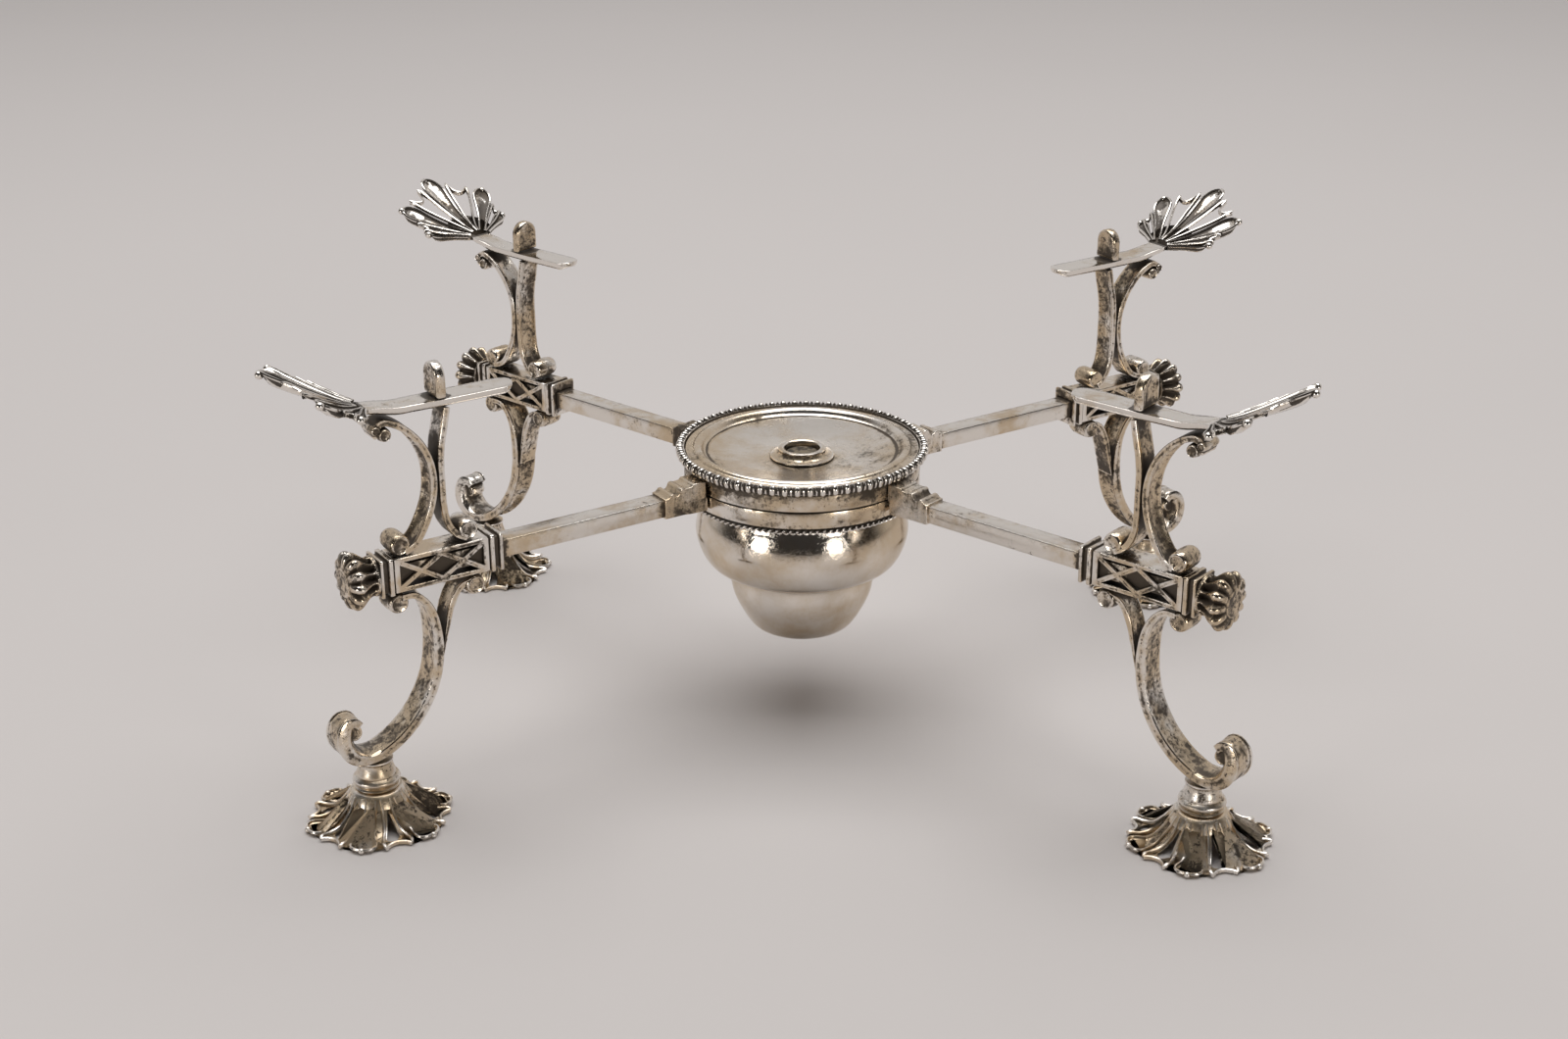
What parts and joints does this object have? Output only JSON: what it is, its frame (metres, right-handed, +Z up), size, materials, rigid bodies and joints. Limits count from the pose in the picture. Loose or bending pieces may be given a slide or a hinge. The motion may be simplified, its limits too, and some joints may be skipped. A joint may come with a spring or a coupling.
{
  "type": "silver dish cross with spirit lamp",
  "caption": "Table stand that holds a dish over a spirit lamp: two pairs of bars that swing about the lamp, with sliding brackets on pierced feet.",
  "frame": {"origin": "on the ground, under the axis of the lamp, which is the axis the cross swings about", "axes": "+X along the long side of the cross in plan, bisecting its right-hand bars; +Y to the rear as pictured; +Z up"},
  "size_m": [0.2524, 0.202, 0.1259],
  "materials": {
    "bars": "old polished silver with worn bright edges and yellow-brown tarnish on the sides",
    "castings": "cast and chased silver, bright on the high parts and darkened in the recesses",
    "rests": "flat silver plate with fine scratches and bright edges",
    "lamp": "raised silver, highly polished",
    "wick_tube": "silver tube with a bright lip, browned by the flame",
    "wick": "braided cotton, browned"
  },
  "bodies": {
    "upper_cross": {"upper_ring": "bars", "ring_sleeve": "bars", "rope_wire": "bars", "front_right_bar": "bars", "front_right_root_block": "bars", "front_right_rosette": "castings", "rear_left_bar": "bars", "rear_left_root_block": "bars", "rear_left_rosette": "castings"},
    "lower_cross": {"lower_ring": "bars", "front_left_bar": "bars", "front_left_root_block": "bars", "front_left_rosette": "castings", "rear_right_bar": "bars", "rear_right_root_block": "bars", "rear_right_rosette": "castings"},
    "lamp": {"lamp_body": "lamp"},
    "cover": {"cover_pan": "lamp", "bead_border": "lamp", "wick_tube": "wick_tube", "wick": "wick"},
    "front_right_bracket": {"front_right_sleeve": "castings", "front_right_upper_outer_scroll": "castings", "front_right_upper_inner_scroll": "castings", "front_right_dish_rest": "rests", "front_right_dish_stop": "rests", "front_right_leg": "castings", "front_right_under_scroll": "castings", "front_right_foot_knop": "castings", "front_right_foot_shell": "castings"},
    "rear_right_bracket": {"rear_right_sleeve": "castings", "rear_right_upper_outer_scroll": "castings", "rear_right_upper_inner_scroll": "castings", "rear_right_dish_rest": "rests", "rear_right_dish_stop": "rests", "rear_right_leg": "castings", "rear_right_under_scroll": "castings", "rear_right_foot_knop": "castings", "rear_right_foot_shell": "castings"},
    "rear_left_bracket": {"rear_left_sleeve": "castings", "rear_left_upper_outer_scroll": "castings", "rear_left_upper_inner_scroll": "castings", "rear_left_dish_rest": "rests", "rear_left_dish_stop": "rests", "rear_left_leg": "castings", "rear_left_under_scroll": "castings", "rear_left_foot_knop": "castings", "rear_left_foot_shell": "castings"},
    "front_left_bracket": {"front_left_sleeve": "castings", "front_left_upper_outer_scroll": "castings", "front_left_upper_inner_scroll": "castings", "front_left_dish_rest": "rests", "front_left_dish_stop": "rests", "front_left_leg": "castings", "front_left_under_scroll": "castings", "front_left_foot_knop": "castings", "front_left_foot_shell": "castings"}
  },
  "joints": [
    {"name": "cross_swing", "type": "hinge", "parent": "upper_cross", "child": "lower_cross", "pos_m": [0, 0, 0.0682], "axis": [0, 0, 1], "range_deg": [-34, 66]},
    {"name": "lamp_lift", "type": "slide", "parent": "upper_cross", "child": "lamp", "axis": [0, 0, 1], "range_m": [0, 0.06]},
    {"name": "cover_lift", "type": "slide", "parent": "lamp", "child": "cover", "axis": [0, 0, 1], "range_m": [0, 0.05]},
    {"name": "front_right_bracket_slide", "type": "slide", "parent": "upper_cross", "child": "front_right_bracket", "axis": [-0.7986, 0.6018, 0], "range_m": [0, 0.048]},
    {"name": "rear_right_bracket_slide", "type": "slide", "parent": "lower_cross", "child": "rear_right_bracket", "axis": [-0.7986, -0.6018, 0], "range_m": [0, 0.048]},
    {"name": "rear_left_bracket_slide", "type": "slide", "parent": "upper_cross", "child": "rear_left_bracket", "axis": [0.7986, -0.6018, 0], "range_m": [0, 0.048]},
    {"name": "front_left_bracket_slide", "type": "slide", "parent": "lower_cross", "child": "front_left_bracket", "axis": [0.7986, 0.6018, 0], "range_m": [0, 0.048]}
  ]
}
